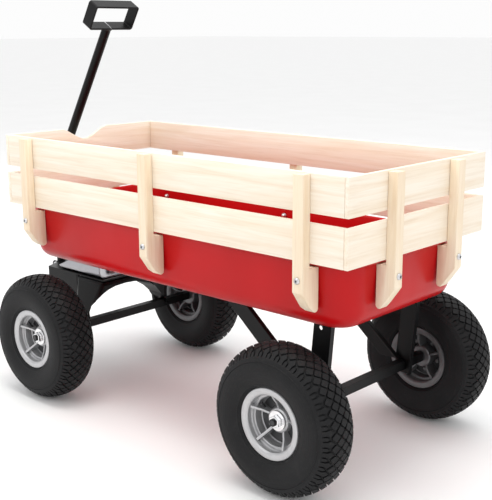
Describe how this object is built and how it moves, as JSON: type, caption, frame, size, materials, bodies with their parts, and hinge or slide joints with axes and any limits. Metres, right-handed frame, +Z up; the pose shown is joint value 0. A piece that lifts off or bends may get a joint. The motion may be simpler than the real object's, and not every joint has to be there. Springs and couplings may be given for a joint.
{
  "type": "kids pull wagon",
  "caption": "Child's pull wagon with a pressed steel bed, slatted wooden stake sides, air-filled wheels on square axles, and a swivelling drawbar with a fold-down loop handle.",
  "frame": {"origin": "on the ground under the middle of the overall bounding box, wheels straight and handle laid back", "axes": "+X from the handle end to the tail end, +Y to the wagon's right side, +Z up"},
  "size_m": [1.0138, 0.512, 0.7948],
  "materials": {
    "wood": "pale planed pine, clear satin coat",
    "red_paint": "gloss red powder coat",
    "black_paint": "satin black powder coat",
    "rubber": "matt black block tread",
    "silver_paint": "silver wheel paint",
    "zinc": "bright zinc plate",
    "chrome": "bright plated",
    "nylon": "black nylon"
  },
  "bodies": {
    "chassis": {"bed_tray": "red_paint", "kingpin_cradle": "zinc", "kingpin": "zinc", "rear_axle": "black_paint", "rear_leg_left": "black_paint", "rear_leg_right": "black_paint", "rear_brace_left": "black_paint", "rear_brace_right": "black_paint", "slat_left_upper": "wood", "slat_left_lower": "wood", "slat_right_upper": "wood", "slat_right_lower": "wood", "slat_front_upper": "wood", "slat_front_lower": "wood", "slat_rear_upper": "wood", "slat_rear_lower": "wood", "stake_left_front": "wood", "stake_left_middle": "wood", "stake_left_rear": "wood", "stake_right_front": "wood", "stake_right_middle": "wood", "stake_right_rear": "wood", "stake_front_left": "wood", "stake_front_right": "wood", "stake_rear_left": "wood", "stake_rear_right": "wood", "stake_bolt_left_front": "zinc", "stake_bolt_left_middle": "zinc", "stake_bolt_left_rear": "zinc", "stake_bolt_right_front": "zinc", "stake_bolt_right_middle": "zinc", "stake_bolt_right_rear": "zinc", "stake_bolt_front_left": "zinc", "stake_bolt_front_right": "zinc", "stake_bolt_rear_left": "zinc", "stake_bolt_rear_right": "zinc", "axle_nut_rear_left": "chrome", "axle_nut_rear_right": "chrome"},
    "steering": {"front_bolster": "black_paint", "drawbar": "black_paint", "front_axle": "black_paint", "handle_pin": "zinc", "axle_nut_front_left": "chrome", "axle_nut_front_right": "chrome"},
    "handle": {"handle_tube": "black_paint", "handle_grip": "black_paint"},
    "wheel_front_left": {"tyre_front_left": "rubber", "rim_front_left": "silver_paint", "bushing_front_left": "nylon"},
    "wheel_front_right": {"tyre_front_right": "rubber", "rim_front_right": "silver_paint", "bushing_front_right": "nylon"},
    "wheel_rear_left": {"tyre_rear_left": "rubber", "rim_rear_left": "silver_paint", "bushing_rear_left": "nylon"},
    "wheel_rear_right": {"tyre_rear_right": "rubber", "rim_rear_right": "silver_paint", "bushing_rear_right": "nylon"}
  },
  "joints": [
    {"name": "steering_swivel", "type": "hinge", "parent": "chassis", "child": "steering", "pos_m": [-0.3132, 0, 0.208], "axis": [0, 0, 1], "range_deg": [-30, 30]},
    {"name": "handle_fold", "type": "hinge", "parent": "steering", "child": "handle", "pos_m": [-0.4919, 0, 0.203], "axis": [0, -1, 0], "range_deg": [0, 118]},
    {"name": "wheel_front_left_spin", "type": "hinge", "parent": "steering", "child": "wheel_front_left", "pos_m": [-0.2672, -0.213, 0.127], "axis": [0, 1, 0], "continuous": true},
    {"name": "wheel_front_right_spin", "type": "hinge", "parent": "steering", "child": "wheel_front_right", "pos_m": [-0.2672, 0.213, 0.127], "axis": [0, 1, 0], "continuous": true},
    {"name": "wheel_rear_left_spin", "type": "hinge", "parent": "chassis", "child": "wheel_rear_left", "pos_m": [0.3718, -0.213, 0.127], "axis": [0, 1, 0], "continuous": true},
    {"name": "wheel_rear_right_spin", "type": "hinge", "parent": "chassis", "child": "wheel_rear_right", "pos_m": [0.3718, 0.213, 0.127], "axis": [0, 1, 0], "continuous": true}
  ]
}
